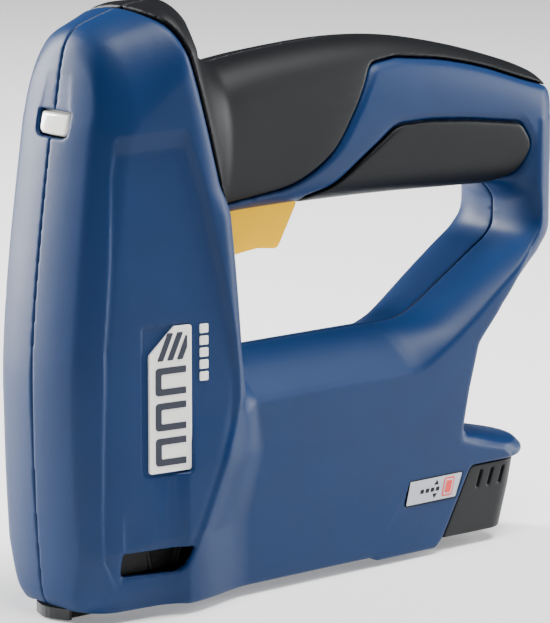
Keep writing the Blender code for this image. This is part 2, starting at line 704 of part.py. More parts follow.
def nose_parts():
    toe = prism("nose_plate", rounded(NOSE_PLAN), 0, 3.4, "Z")
    toe = join(toe, box("upright", (-95.3, -7.4, 3), (-94.3, 7.4, 21)))
    block = box("nose_block", (-94.3 + GAP, -7.6, 0.5), (-84.4, 7.6, 21))
    blade_way = box("way", (-95, -5.5, 0), (BLADE_X + 0.8, 5.5, 30))
    feed_way = box("feed", (-93, -5.9, 3.2), (-80, 5.9, 15))
    return [toe, cut(block, blade_way, feed_way)]


def feed_parts():
    channel = box("magazine_channel", (-84, -7.8, 2.7), (RAIL_REAR_X, 7.8, 18.2))
    channel = cut(channel, box("inside", (-85, -6.7, 3.8), (60, 6.7, 20)))
    rail = box("magazine_rail", (RAIL_FRONT_X + 0.4, -4.2, 6.6), (RAIL_REAR_X, 4.2, 11.4))
    pusher = box("staple_pusher", (RAIL_FRONT_X + 1.4, -6.0, 4.4), (RAIL_FRONT_X + 15, 6.0, 17.2))
    pusher = cut(pusher, box("saddle", (-90, -4.6, 4), (-60, 4.6, 11.8)), box("step", (-79, -7, 13.4), (-60, 7, 20)))
    start, end = RAIL_FRONT_X + 15 + 0.6 - 9.8, RAIL_REAR_X - 0.8
    spring = coil("pusher_spring", (start, 0, 15.9), (end, 0, 15.9), 1.7, 0.4, 17, 8, 0)
    return [channel, rail, pusher, spring]


def magazine_cap():
    cap = prism("magazine_cap", rounded(CAP_SIDE), -24, 24)
    cap = keep_inside(cap, prism("plan", rounded(CAP_PLAN), 0, 40, "Z"))
    hook = box("hook", (46.8, -5.8, 6.4), (60, 5.8, 18))
    cap = join(cap, hook)
    for x in (60.4, 65.4, 70.6):
        groove = ((x, 18.2, 0.3), (x + 1.1, 18.2, 0.3), (x + 2.9, 23.6, 0.3), (x + 1.8, 23.6, 0.3))
        for low in (-22, 18):
            cap = cut(cap, prism("groove", rounded(groove), low, low + 4))
    return cap


# ---------------------------------------------------------------- switch and power


def trigger_parts():
    trigger = prism("trigger", rounded(TRIGGER_SIDE), -6.8, 6.8)
    flange = box("flange", (-35.4, -8.6, 121), (-5.6, 8.6, 123))
    post = box("post", (-17, -2.4, 122), (-12, 2.4, 130.4))
    trigger = join(trigger, flange, post)
    spring = coil("trigger_spring", (-28, 0, 123.6), (-28, 0, 136.6), 3.0, 0.45, 5, 8, 0)
    body = box("microswitch", (-32, -3.6, 137.2), (-8, 3.6, 148))
    body = cut(body, rod("bore", 1.9, (-14.5, 0, 130), (-14.5, 0, 142), 10))
    plunger = rod("switch_plunger", 1.5, (-14.5, 0, 134.4), (-14.5, 0, 139.6), 10)
    return [trigger, spring, body, plunger]


def power_parts():
    made = []
    for name, z in (("battery_cell_lower", 34.0), ("battery_cell_upper", 53.0)):
        start, end = -35.0, CELL_LENGTH - 35
        cell = rod(name, CELL_RADIUS, (start, 0, z), (end, 0, z), 24)
        made.append(join(cell, rod("tip", 2.8, (end - 0.5, 0, z), (end + 1.2, 0, z), 12)))
    board = box("control_board", (-30, 12, 24), (30, 13.6, 56))
    chips = [
        box("chip", (-20, 10.2, 34), (-8, 12.2, 46)),
        box("drive", (8, 9.8, 42), (16, 12.2, 54)),
        rod("store", 3, (24, 13.4, 48), (24, 17.2, 48), 14),
    ]
    made.append(join(board, *chips))
    socket = rod("charging_socket", 5.4, (58, 0, 50), (68.6, 0, 50), 18)
    socket = cut(socket, rod("bore", 3.2, (60.5, 0, 50), (80, 0, 50), 14))
    made.append(join(socket, rod("pin", 1.0, (60, 0, 50), (67.4, 0, 50), 8)))
    return made


def lens_parts():
    lens = prism("indicator_lens", lens_outline(-0.1), -94.1, -90.4, "X")
    board = box("indicator_board", (-88.6, -8, 143), (-87.0, 8, 152))
    light = box("light", (-90.2, -2.5, 145.2), (-88.4, 2.5, 150))
    return [lens, join(board, light)]


# ---------------------------------------------------------------- assembly


def set_origin(obj, place):
    """Moves an object's origin to its joint's place, leaving the shape where it is."""
    offset = Vector(place) * MM
    obj.data.transform(Matrix.Translation(-offset))
    obj.location = offset


def finish(pieces, materials):
    tool = collection("staple_gun")
    bpy.context.view_layer.update()
    for piece in pieces:
        for holder in list(piece.users_collection):
            holder.objects.unlink(piece)
        tool.objects.link(piece)
        piece.data.materials.clear()
        piece.data.materials.append(materials[piece.name])
        piece.data.shade_smooth()
        piece.data.set_sharp_from_angle(angle=math.radians(35))


def materials_for(names):
    """Each piece's material, by the first of these words that its name starts with."""
    looks = {
        "housing_screw": ((0.35, 0.35, 0.37), 0.35, 1.0),
        "housing": ((0.045, 0.11, 0.27), 0.5, 0.0),
        "grip": ((0.028, 0.031, 0.034), 0.75, 0.0),
        "trigger_spring": ((0.5, 0.5, 0.52), 0.3, 1.0),
        "trigger": ((0.93, 0.62, 0.01), 0.45, 0.0),
        "badge": ((0.85, 0.84, 0.8), 0.5, 0.0),
        "label": ((0.55, 0.57, 0.6), 0.35, 0.3),
        "slot": ((0.01, 0.01, 0.01), 0.6, 0.0),
        "indicator_lens": ((0.8, 0.78, 0.7), 0.2, 0.0),
        "indicator_board": ((0.02, 0.2, 0.08), 0.5, 0.0),
        "control": ((0.02, 0.2, 0.08), 0.5, 0.0),
        "battery": ((0.1, 0.35, 0.3), 0.4, 0.0),
        "charging": ((0.02, 0.02, 0.02), 0.5, 0.0),
        "microswitch": ((0.03, 0.03, 0.03), 0.5, 0.0),
        "switch_plunger": ((0.5, 0.05, 0.05), 0.5, 0.0),
        "magazine_cap": ((0.035, 0.037, 0.04), 0.5, 0.0),
        "nose_block": ((0.02, 0.02, 0.02), 0.5, 0.2),
        "second_gear": ((0.75, 0.74, 0.68), 0.5, 0.0),
        "first_gear": ((0.75, 0.74, 0.68), 0.5, 0.0),
        "cam_gear": ((0.75, 0.74, 0.68), 0.5, 0.0),
        "staple_pusher": ((0.03, 0.03, 0.03), 0.5, 0.0),
    }
    steel = material("steel", (0.5, 0.5, 0.52), 0.3, 1.0)
    chosen = {}
    made = {}
    for name in names:
        word = next((word for word in looks if name.startswith(word)), None)
        if word and word not in made:
            made[word] = material(word, *looks[word])
        chosen[name] = made[word] if word else steel
    return chosen


def main():
    clear_scene()
    body = body_volume("body")
    pieces = [
        *housing(body), *grips(body), *trim(), *screws(), *drive_frames(), *drive_gears(), *cam_parts(),
        *motor_parts(), *hammer_parts(), *spring_parts(), *nose_parts(), *feed_parts(), magazine_cap(),
        *trigger_parts(), *power_parts(), *lens_parts(),
    ]
    bpy.data.objects.remove(body)
    by_name = {piece.name: piece for piece in pieces}
    for name, place in (
        ("cam_gear", (CAM_X, 0, CAM_Z)), ("snail_cam", (CAM_X, 0, CAM_Z)), ("cam_shaft", (CAM_X, 0, CAM_Z)),
        ("second_gear", (SECOND_X, 0, SECOND_Z)), ("first_gear", (first_centre()[0], 0, first_centre()[1])),
        ("motor_pinion", (MOTOR_X, 0, MOTOR_Z)),
    ):
        set_origin(by_name[name], place)
    finish(pieces, materials_for(by_name))


main()
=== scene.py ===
"""Looks for the battery staple gun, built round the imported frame.

The moulded case and the soft grips are surfaces of one implicit field, so that they share every
edge and gap. A field is negative inside. Outlines are in millimetres: x from nose to tail, y
across, z up.
"""

import math
from functools import reduce

import bmesh
import bpy
import numpy as np
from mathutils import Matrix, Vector


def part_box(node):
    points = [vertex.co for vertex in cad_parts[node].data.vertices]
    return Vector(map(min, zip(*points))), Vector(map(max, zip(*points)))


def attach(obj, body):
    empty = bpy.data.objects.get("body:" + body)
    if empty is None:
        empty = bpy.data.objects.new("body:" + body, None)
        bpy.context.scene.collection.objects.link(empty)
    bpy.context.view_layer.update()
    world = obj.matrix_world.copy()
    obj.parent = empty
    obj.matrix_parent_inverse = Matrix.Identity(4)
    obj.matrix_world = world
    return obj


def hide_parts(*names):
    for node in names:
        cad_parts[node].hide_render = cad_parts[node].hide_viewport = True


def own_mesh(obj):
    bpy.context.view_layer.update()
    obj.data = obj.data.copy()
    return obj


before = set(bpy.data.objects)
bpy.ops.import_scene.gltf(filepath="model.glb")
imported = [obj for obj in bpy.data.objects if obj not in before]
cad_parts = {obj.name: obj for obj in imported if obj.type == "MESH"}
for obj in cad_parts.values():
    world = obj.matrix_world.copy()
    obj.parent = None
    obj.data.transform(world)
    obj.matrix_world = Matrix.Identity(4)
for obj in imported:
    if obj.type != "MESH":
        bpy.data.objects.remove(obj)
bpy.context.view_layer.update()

MM = 0.001
STEP = 0.6
HALF_GAP = 0.03  # each moulded half stops this far from the middle plane

FRONT_R = 58.0  # plan radius of the head's front face
REAR_R = 20.6  # plan radius of the tail and the handle's end
WAIST_R = 30.0  # plan radius of the waist between them
WALL = 2.6  # thickness of the case's wall
GRIP_DEPTH = 2.2  # how far the grips reach into the wall
PANEL_SINK = 1.7  # how far the side panel is sunk
PANEL_TOP_SLOPE = 5.7  # height of the slope along the sunk panel's upper edge
HANDLE_POWER = 2.5  # exponent of the handle's superellipse
CHANNEL_HALF = 8.1  # half-width of the magazine's channel
SOCKET_Z = 50  # height of the charging inlet
TRIGGER_X = -20.5
TRIGGER_HALF = 16.1  # half the length of the trigger's opening
BOSS_R = 4.6  # radius of the posts that take the screws
SCREW_HOLE_R = 1.8
SCREW_RECESS_R = 3.6
BLIND_HOLE = 6.5  # how far the screw holes reach from the middle plane where they aren't through

CASE_SHARE = 0.26  # how much of its triangles a case surface keeps
PIECE_SHARE = 0.4  # the same for a small piece

# ---------------------------------------------------------------- outlines


def fillet(corners, step=math.radians(7)):
    """The outline through corners (a, b, radius), each corner turned into an arc of its radius."""
    points = []
    for i, (a, b, radius) in enumerate(corners):
        corner = np.array((a, b), float)
        before = np.array(corners[i - 1][:2]) - corner
        after = np.array(corners[(i + 1) % len(corners)][:2]) - corner
        short = min(np.linalg.norm(before), np.linalg.norm(after))
        before /= np.linalg.norm(before)
        after /= np.linalg.norm(after)
        turn = math.pi - math.acos(np.clip(before @ after, -1, 1))
        if radius <= 0 or turn < 1e-3:
            points.append(corner)
            continue
        reach = min(radius * math.tan(turn / 2), 0.49 * short)
        radius = reach / math.tan(turn / 2)
        middle = (before + after) / np.linalg.norm(before + after)
        centre = corner + middle * radius / math.cos(turn / 2)
        side = 1 if before[0] * after[1] - before[1] * after[0] < 0 else -1
        pieces = max(1, math.ceil(turn / step))
        arm = corner + before * reach - centre
        for k in range(pieces + 1):
            c, s = math.cos(side * turn * k / pieces), math.sin(side * turn * k / pieces)
            points.append(centre + np.array((c * arm[0] - s * arm[1], s * arm[0] + c * arm[1])))
    return np.array(points)


def rounded(corners, radius):
    """The outline through corners that all have one radius."""
    return fillet([(a, b, radius) for a, b in corners])


def smooth_line(points, steps=6):
    """An open Catmull-Rom line through points."""
    pts = np.array(points, float)
    pts = np.vstack((2 * pts[0] - pts[1], pts, 2 * pts[-1] - pts[-2]))
    out = []
    for k in range(1, len(pts) - 2):
        a, b, c, d = pts[k - 1 : k + 3]
        square = 2 * a - 5 * b + 4 * c - d
        cube = 3 * b - a - 3 * c + d
        for t in np.linspace(0, 1, steps, endpoint=False):
            out.append(0.5 * (2 * b + (c - a) * t + square * t**2 + cube * t**3))
    out.append(pts[-2])
    return np.array(out)


# Front face on the middle plane, from the chin up past the crown, and the crown's crest.
FRONT_LINE = (
    (-97.3, 3.6), (-99.3, 8), (-100.3, 16.6), (-101.6, 35.6), (-102.3, 57.6), (-102.3, 78.3),
    (-99.6, 107.8), (-94.9, 143), (-93.2, 152), (-91.4, 161.2), (-88.9, 172), (-86, 184),
    (-82, 200),
)
CREST = (
    (-90, 173.2), (-87, 174.9), (-82, 177.1), (-76, 178.9), (-70, 180.5), (-63, 181.7),
    (-57, 182.0), (-40, 182.0),
)
# Side outlines, each corner as x, z and its radius.
REAR_HEAD = (
    (-130, -20, 0), (-30, -20, 0), (-33.5, 60, 0), (-39.6, 78, 20), (-44, 105.5, 20),
    (-44.5, 124, 12), (-36.5, 150, 20), (-36.0, 163, 6), (-40, 174, 10), (-49, 190, 0),
    (-130, 230, 0),
)
PANEL = (
    (-65.2, 147.3, 3), (-87.6, 146.4, 3), (-89.6, 134.2, 0), (-91.4, 108.3, 0), (-93.6, 82.8, 0),
    (-94.2, 51.9, 0), (-94.2, 32.6, 0), (-93.8, 20, 6), (-88.5, 9, 3), (-66.6, 9, 2),
    (-61.6, 22, 8), (-57.8, 31, 20), (-51.4, 47, 20), (-47.6, 57, 10), (-46.8, 64, 10),
    (-47.1, 72, 20), (-49.1, 85.8, 20), (-53.6, 104.8, 40), (-59.1, 128.5, 40),
)
SLOT = ((-86.4, 14.1, 2), (-65.6, 13.4, 3.5), (-62.6, 21.2, 0.4), (-86.4, 21.4, 0.4))
UNDER = (
    (-130, 2.7, 0), (16, 2.7, 0.5), (18.5, 1.35, 0.5), (43.2, 1.35, 2), (45.8, 4, 2), (57.8, 26, 3),
    (120, 26, 0), (120, 200, 0), (-130, 200, 0),
)
REAR = (
    (-130, -20, 0), (91.2, -20, 0), (91.2, 27.8, 2), (88, 30.6, 3), (72, 34.5, 2),
    (61.6, 36.6, 2.5), (64.2, 51, 30), (67.8, 65.5, 6), (77.6, 76.4, 10), (97.2, 91.2, 6),
    (102.4, 97, 8), (102.4, 138, 20), (101.8, 143.6, 3), (97, 150, 5), (80, 175, 0), (-130, 175, 0),
)
# The finger opening's lower and rear edge, on the middle plane and at SHOULDER_HALF from it.
OPENING_MIDDLE = (
    (-80, 72.8), (20, 72.8), (34, 72.6), (43, 73.3), (49.5, 75.5), (62.4, 83.3), (75.5, 91.2),
    (81.5, 94.9), (84.6, 98.6), (85.2, 104), (84.7, 112),
)
OPENING_EDGE = (
    (-80, 60.4), (20, 60.4), (32, 60.6), (38.8, 62.6), (50.7, 69.8), (67.9, 82.2), (77.4, 88.9),
    (87.0, 96.1), (90.6, 99.9), (91.6, 105), (91.2, 112),
)
SHOULDER_HALF = 21.5
# Half-width of the base, tail and bow, by height.
BODY_HALF = (
    (0, 20.0), (26, 20.5), (60, 21.6), (75, 22.0), (88, 21.6), (100, 19.6), (112, 18.4),
    (145, 17.8),
)
# The planes across the head's rear corners: normal along x and y, and distance by height.
CORNER_X, CORNER_Y = 0.809, 0.588
HEAD_CORNER = (
    (2.7, -30), (24, -30), (47, -21.5), (64, -17.8), (105, -17.8), (119.5, -20.5), (128, -24.5),
    (144, -27.5), (157.5, -30.5), (165.6, -32.5), (169, -33), (175.7, -35.5), (184, -39.5),
)
# Radius of the fillet between the head and what is behind it, by height.
HEAD_FILLET = ((0, 14), (45, 14), (60, 8), (74, 3), (110, 3), (122, 8.5), (184, 8.5))
# Handle: x, underside, crest, half-width.
HANDLE = (
    (-60, 115.1, 157.0, 18.4), (-48, 115.1, 159.2, 18.2), (-36, 115.1, 161.4, 18.0),
    (-18, 115.3, 163.5, 17.6), (11, 115.1, 165.1, 17.4), (36, 114.5, 163.8, 17.5),
    (60, 113.5, 159.3, 17.7), (82, 112.6, 153.2, 17.8), (94, 112.2, 148.8, 17.6),
    (104, 112.0, 143.6, 17.4),
)
FRONT_GRIP = (
    (-46.2, 118.9, 1.5), (-30, 120.6, 40), (-12, 122.4, 30), (2.5, 131.5, 30), (12, 146, 60),
    (19.4, 157.4, 6), (31, 158.4, 12), (50.4, 156.2, 60), (67.7, 152.5, 80), (86, 146.6, 60),
    (104, 141.6, 0), (112, 200, 0), (-70, 200, 0), (-69.5, 183, 10), (-64.6, 175.7, 20),
    (-59.1, 157.5, 60), (-51.5, 128.3, 20),
)
REAR_GRIP = (
    (-3.3, 100, 0), (75, 100, 0), (76, 113.1, 4), (83.4, 117, 6), (86.4, 126.4, 6),
    (81.2, 133.6, 5), (58.8, 136.6, 60), (42, 138, 40), (28, 137.8, 10), (14, 128, 30),
    (5.2, 120.2, 14), (-3.0, 117.9, 1),
)
CAP = ((47.0, 3.8, 0.4), (58.8, 25.4, 2.6), (90, 25.4, 0), (90, 17, 0), (84, 3.6, 0), (66, 3.6, 0))
# The recess of the badge in the head's side, the head's half-width at BADGE_X, and how it grows
# with x.
BADGE = ((-79.8, 44.5, 1.2), (-64.2, 44.5, 1.2), (-64.2, 89, 1.2), (-79.8, 89, 1.2))
BADGE_X = -72
BADGE_Y = 25.9
BADGE_SLOPE = 0.14
# The label's outline, and the base's half-width behind it.
LABEL = ((29.2, 17.4, 0.4), (50.3, 17.4, 0.4), (53.4, 24.8, 0.4), (31.1, 24.8, 0.4))
LABEL_Y = 20.45
# Screws, all driven from the +Y side: x, z, and y of the seat that the head stands on.
SCREWS = (
    (-93.5, 94.5, 15), (-66, 163, 16.5), (-47.5, 24, 18.5), (19, 146, 11), (96, 125, 10.5),
    (46, 56, 15.5),
)

# ---------------------------------------------------------------- fields

# The grid covers the left half, from its outside to just past the middle plane. The right half
# is its mirror image.
GRID_X = np.arange(-104.4, 105.0, STEP)
GRID_Z = np.arange(-1.2, 184.5, STEP)
GRID_Y = -HALF_GAP + STEP * np.arange(-math.ceil(32.4 / STEP), 4)


def distance(outline, a, b):
    """Signed distance to a closed outline over the grid of a by b, negative inside."""
    along, across = a[:, None], b[None, :]
    best = np.full((len(a), len(b)), 1e9)
    inside = np.zeros(best.shape, bool)
    for start, end in zip(outline, np.roll(outline, -1, 0)):
        edge = end - start
        share = (along - start[0]) * edge[0] + (across - start[1]) * edge[1]
        share = np.clip(share / (edge @ edge + 1e-12), 0, 1)
        gap = (along - start[0] - share * edge[0]) ** 2 + (across - start[1] - share * edge[1]) ** 2
        np.minimum(best, gap, out=best)
        if start[1] != end[1]:
            crossing = (start[1] > across) != (end[1] > across)
            inside ^= crossing & (along < edge[0] * (across - start[1]) / edge[1] + start[0])
    return np.where(inside, -1, 1) * np.sqrt(best)


def both(a, b, radius):
    """What two solids have in common, with the edge between them rounded."""
    rounding = np.hypot(np.maximum(a + radius, 0), np.maximum(b + radius, 0))
    return np.minimum(np.maximum(a, b), -radius) + rounding


def either(a, b, radius):
    """Two solids run together, with a fillet between them."""
    return -both(-a, -b, radius)


def within(*fields):
    """What solids have in common, with sharp edges."""
    return reduce(np.maximum, fields)


def joined(*fields):
    """Solids put together, with sharp edges."""
    return reduce(np.minimum, fields)


def band(value, middle, half):
    """Negative where value is less than half away from middle."""
    return np.abs(value - middle) - half


def ramp(value, low, high):
    """A smooth step from 0 at low to 1 at high."""
    t = np.clip((value - low) / (high - low), 0, 1)
    return t * t * (3 - 2 * t)


def slid(field, distance_x):
    """A side field moved along x."""
    place = np.arange(len(GRID_X)) - distance_x / STEP
    first = np.clip(np.floor(place).astype(int), 0, len(GRID_X) - 2)
    share = (place - first)[:, None]
    return field[first] * (1 - share) + field[first + 1] * share


def closed(line, *corners):
    """An outline of a smooth line and the corners that close it."""
    return np.vstack((smooth_line(line), np.array(corners, float)))


def side_fields():
    """Everything that is an outline seen from the side, worked out once."""
    outlines = {
        "front": closed(FRONT_LINE, (-10, 200), (-10, -20), (-95.5, -20), (-95.5, 2.7)),
        "rear_head": fillet(REAR_HEAD),
        "panel": fillet(PANEL),
        "slot": fillet(SLOT),
        "under": fillet(UNDER),
        "rear": fillet(REAR),
        "open_middle": closed(OPENING_MIDDLE, (89.6, 190), (-80, 190)),
        "open_edge": closed(OPENING_EDGE, (89.6, 190), (-80, 190)),
        "front_grip": fillet(FRONT_GRIP),
        "rear_grip": fillet(REAR_GRIP),
        "label": fillet(LABEL),
        "badge": fillet(BADGE),
    }
    found = {name: distance(outline, GRID_X, GRID_Z) for name, outline in outlines.items()}
    x, z = GRID_X[:, None], GRID_Z[None, :]
    found["trigger"] = within(band(x, TRIGGER_X, TRIGGER_HALF), band(z, 114, 8))
    found["trigger_flange"] = within(band(x, TRIGGER_X, TRIGGER_HALF), band(z, 123.3, 2.7))
    found["screws"] = [np.hypot(x - sx, z - sz) for sx, sz, _ in SCREWS]
    return found


def smooth_sections(table, places, column):
    """A column of the handle table as a smooth curve of x."""
    curve = smooth_line(table[:, (0, column)], 12)
    return np.interp(places, curve[:, 0], curve[:, 1])


def handle_field(y):
    """The handle's superellipse at one y, as a near distance."""
    table = np.array(HANDLE)
    fine = np.linspace(table[0, 0], table[-1, 0], 200)
    sections = [np.interp(GRID_X, fine, smooth_sections(table, fine, k)) for k in (1, 2, 3)]
    low, high, half = (row[:, None] for row in sections)
    n = HANDLE_POWER
    middle, rise = (low + high) / 2, (high - low) / 2
    u, v = abs(y) / half, np.abs(GRID_Z[None, :] - middle) / rise
    q = np.maximum((u**n + v**n) ** (1 / n), 1e-4)
    slope = np.hypot(q ** (1 - n) * u ** (n - 1) / half, q ** (1 - n) * v ** (n - 1) / rise)
    return (q - 1) / np.maximum(slope, 1e-3)


def head_field(side, y):
    """The head at one y."""
    x, z = GRID_X[:, None], GRID_Z[None, :]
    bulge = FRONT_R - math.sqrt(FRONT_R**2 - y * y)
    # The sides flare from the front to the rear, and lean in towards the bottom.
    front_half = 24.4 - 2.8 * ramp(z, 90, 180)
    half = front_half + (30.9 - front_half) * (x + 94.5) / 46.5
    draft = 21.0 + 0.1 * (x + 70) + 0.31 * (z - 2.7)
    half = either(half, draft, 6)
    half = half - 0.45 * (1 - ramp(x, -93, -84)) * ramp(z, 12, 30) - 0.2
    wall = abs(y) - half
    corner = CORNER_X * x + CORNER_Y * abs(y) - np.interp(z, *zip(*HEAD_CORNER))
    curve = np.interp(x, (-88, -62), (0.026, 0.007))
    crest = np.interp(x, *zip(*CREST))
    arch = (z + curve * y * y - crest) / np.hypot(1, 2 * curve * y)
    solid = both(both(wall, arch, 12), corner, 6.5)
    solid = both(solid, side["rear_head"], 9)
    solid = both(slid(side["front"], bulge), solid, np.interp(z, (150, 172), (7.5, 4)))
    return solid + panel_depth(side, y)


def panel_depth(side, y):
    """How deep the side panel is sunk, and the small fold above the slot's front end."""
    x, z = GRID_X[:, None], GRID_Z[None, :]
    top_slope = np.clip((147.3 + 0.04 * (x + 65.2) - z) / PANEL_TOP_SLOPE, 0, 1)
    edge_slope = np.clip(-side["panel"] / PANEL_SINK, 0, 1)
    panel = PANEL_SINK * np.minimum(edge_slope, top_slope) * ramp(z, 7, 20)
    fold = 0.7 * np.clip((x + 86.8) / 0.6, 0, 1) * (1 - ramp(x, -86, -76))
    fold = fold * (1 - ramp(z, 24, 37)) * ramp(z, 11, 15)
    return ramp(abs(y), 13, 18) * (panel + fold)


def rear_field(side, y):
    """The rear outline at one y, bowed less across the waist than above and below it."""
    z = GRID_Z[None, :]
    share = ramp(z, 32, 38) * (1 - ramp(z, 74, 96))
    reach = min(abs(y), REAR_R - 0.8)
    bulges = [radius - math.sqrt(radius**2 - reach**2) for radius in (REAR_R, WAIST_R)]
    round_end, waist = (slid(side["rear"], -bulge) for bulge in bulges)
    return round_end * (1 - share) + waist * share


def lower_field(side, y):
    """Base, tail and bow at one y."""
    x, z = GRID_X[:, None], GRID_Z[None, :]
    half = np.interp(z, *zip(*BODY_HALF))
    solid = np.maximum(abs(y) - half, -58 - x)
    solid = both(solid, rear_field(side, y), 2.2)
    power = 2 + 1.6 * ramp(GRID_X, 28, 48)
    sag = np.minimum(1.3, (abs(y) / SHOULDER_HALF) ** power)[:, None]
    opening = side["open_middle"] * (1 - sag) + side["open_edge"] * sag
    return np.maximum(both(solid, -opening, 1.0), z - 134)


def body_field(side, y):
    """The whole moulded form at one y."""
    x, z = GRID_X[:, None], GRID_Z[None, :]
    handle = both(handle_field(y), rear_field(side, y), 3)
    handle = np.maximum(handle, -50 - x)
    inner_corner = 7 * np.exp(-((x - 84) ** 2 + (z - 110) ** 2) / 10**2) + 0.5
    lower = either(lower_field(side, y), handle, inner_corner)
    whole = either(head_field(side, y), lower, np.interp(z, *zip(*HEAD_FILLET)))
    return both(whole, side["under"], 1.3)


def housing_slices(side, screws):
    """The hollow case and the two grips, slice by slice across y.

    screws takes the screw holes through to the outside and sinks the heads' recesses.
    """
    x, z = GRID_X[:, None], GRID_Z[None, :]
    stacks = {"housing": [], "front_grip": [], "rear_grip": []}
    # The wall is thicker behind the grips, and the badge's recess follows the flared side.
    wall = WALL + 2.4 * ramp(np.minimum(side["front_grip"], side["rear_grip"]), 2, -1)
    badge_floor = BADGE_Y - 0.8 + BADGE_SLOPE * (x - BADGE_X)
    for y in GRID_Y:
        out = body_field(side, y)
        depth = abs(y)
        grips = {name: along_surface(side[name], out) for name in ("front_grip", "rear_grip")}
        region = joined(*grips.values())
        pocket = both(region - 0.55, -(out + GRIP_DEPTH + 0.3), 0.3)
        rim = out + 0.75 * np.clip((2.3 - region) / 1.5, 0, 1)
        case = both(rim, -pocket, 0.5)
        case = np.maximum(case, -(out + wall))
        for circle, (_, _, seat) in zip(side["screws"], SCREWS):
            case = np.minimum(case, both(circle - BOSS_R, out + 1.3, 0.4))
            hole = circle - SCREW_HOLE_R
            if screws:
                case = np.maximum(case, -hole)
                case = both(case, -np.maximum(circle - SCREW_RECESS_R, seat - depth), 0.4)
            else:
                case = np.maximum(case, -np.maximum(hole, depth - BLIND_HOLE))
        case = both(case, -np.maximum(side["trigger"], depth - 7.2), 0.6)
        case = np.maximum(case, -np.maximum(side["trigger_flange"], depth - 8.9))
        case = both(case, -np.maximum(side["slot"], 16 - depth), 0.3)
        case = np.maximum(case, -np.maximum(side["label"] - 0.25, 19.8 - depth))
        case = np.maximum(case, -np.maximum(side["badge"] - 0.3, badge_floor - depth))
        case = cut_front(case, depth, x, z)
        stacks["housing"].append(np.maximum(case, y + HALF_GAP))
        for name, grown in grips.items():
            skin = both(out + 0.05, grown + 0.35, 0.9)
            skin = np.maximum(skin, -(out + GRIP_DEPTH))
            stacks[name].append(np.maximum(skin, y + HALF_GAP))
    return {name: np.stack(stack, 1) for name, stack in stacks.items()}


def along_surface(outline, out):
    """A side field as a distance along the solid's surface, which is longer where that slants."""
    dot = sum(a * b for a, b in zip(np.gradient(outline, STEP), np.gradient(out, STEP)))
    return outline / np.sqrt(np.clip(1 - dot * dot, 0.12, 1))


def window_field(y, z):
    """The window's outline, with round lower corners."""
    corner = np.hypot(np.maximum(np.abs(y) - 4.6, 0), np.maximum(147.0 - z, 0)) - 2.7
    return within(corner, np.abs(y) - 7.3, band(z, 148.1, 3.9))


def cut_front(case, depth, x, z):
    """Nose, channel, window and inlet openings."""
    nose = within(band(x, -89.5, 5.9), depth - CHANNEL_HALF, z - 8)
    toe = within(x + 89, depth - 8.2, z - 3.9)
    channel = within(band(x, -7, 77), depth - CHANNEL_HALF, z - 9)
    rail = within(band(x, 55, 15), depth - CHANNEL_HALF, z - 18.8)
    case = both(case, -joined(nose, toe, channel, rail), 0.3)
    window = np.maximum(window_field(depth, z) - 0.1, x + 84)
    # The sunk field above the window, narrower towards the top.
    rise = z - 152
    recess = within(depth - 6.6 + 0.16 * rise, band(z, 156.5, 6.3), x + 92.7 - 0.15 * rise)
    socket = np.maximum(np.hypot(depth, z - SOCKET_Z) - 5.8, 60 - x)
    case = both(case, -window, 0.35)
    case = both(case, -recess, 0.6)
    return both(case, -socket, 0.5)


# ---------------------------------------------------------------- surfaces from fields


def surface_net(field, corner, step):
    """Vertices and quads of a field's zero surface, with one vertex in each cell it crosses."""
    shape = np.array(field.shape)
    solid = field < 0
    faces = []
    cells = np.zeros(tuple(shape - 1), bool)
    for offset in np.ndindex(2, 2, 2):
        window = tuple(slice(c, c + n - 1) for c, n in zip(offset, shape))
        cells |= solid[window] != solid[:-1, :-1, :-1]
    number = np.full(cells.shape, -1, np.int64)
    number[cells] = np.arange(cells.sum())
    total = np.zeros((cells.sum(), 3))
    hits = np.zeros(cells.sum())
    for axis in range(3):
        low = [slice(None)] * 3
        high = [slice(None)] * 3
        low[axis], high[axis] = slice(0, -1), slice(1, None)
        a, b = field[tuple(low)], field[tuple(high)]
        crossing = (a < 0) != (b < 0)
        index = np.argwhere(crossing)
        share = a[crossing] / (a[crossing] - b[crossing])
        place = index.astype(float)
        place[:, axis] += share
        others = [k for k in range(3) if k != axis]
        inner = np.all([(index[:, k] > 0) & (index[:, k] < shape[k] - 1) for k in others], axis=0)
        corners = []
        for da, db in ((0, 0), (1, 0), (1, 1), (0, 1)):
            near = index.copy()
            near[:, others[0]] -= da
            near[:, others[1]] -= db
            fits = np.all((near >= 0) & (near < np.array(cells.shape)), axis=1)
            ids = np.full(len(index), -1, np.int64)
            ids[fits] = number[tuple(near[fits].T)]
            good = ids >= 0
            for k in range(3):
                total[:, k] += np.bincount(ids[good], place[good, k], len(total))
            hits += np.bincount(ids[good], minlength=len(total))
            corners.append(ids)
        quads = np.stack(corners, 1)[inner]
        flip = (a[crossing] < 0)[inner] ^ (axis == 1)
        quads[flip] = quads[flip][:, ::-1]
        faces.append(quads)
    return np.array(corner) + total / hits[:, None] * step, np.concatenate(faces)


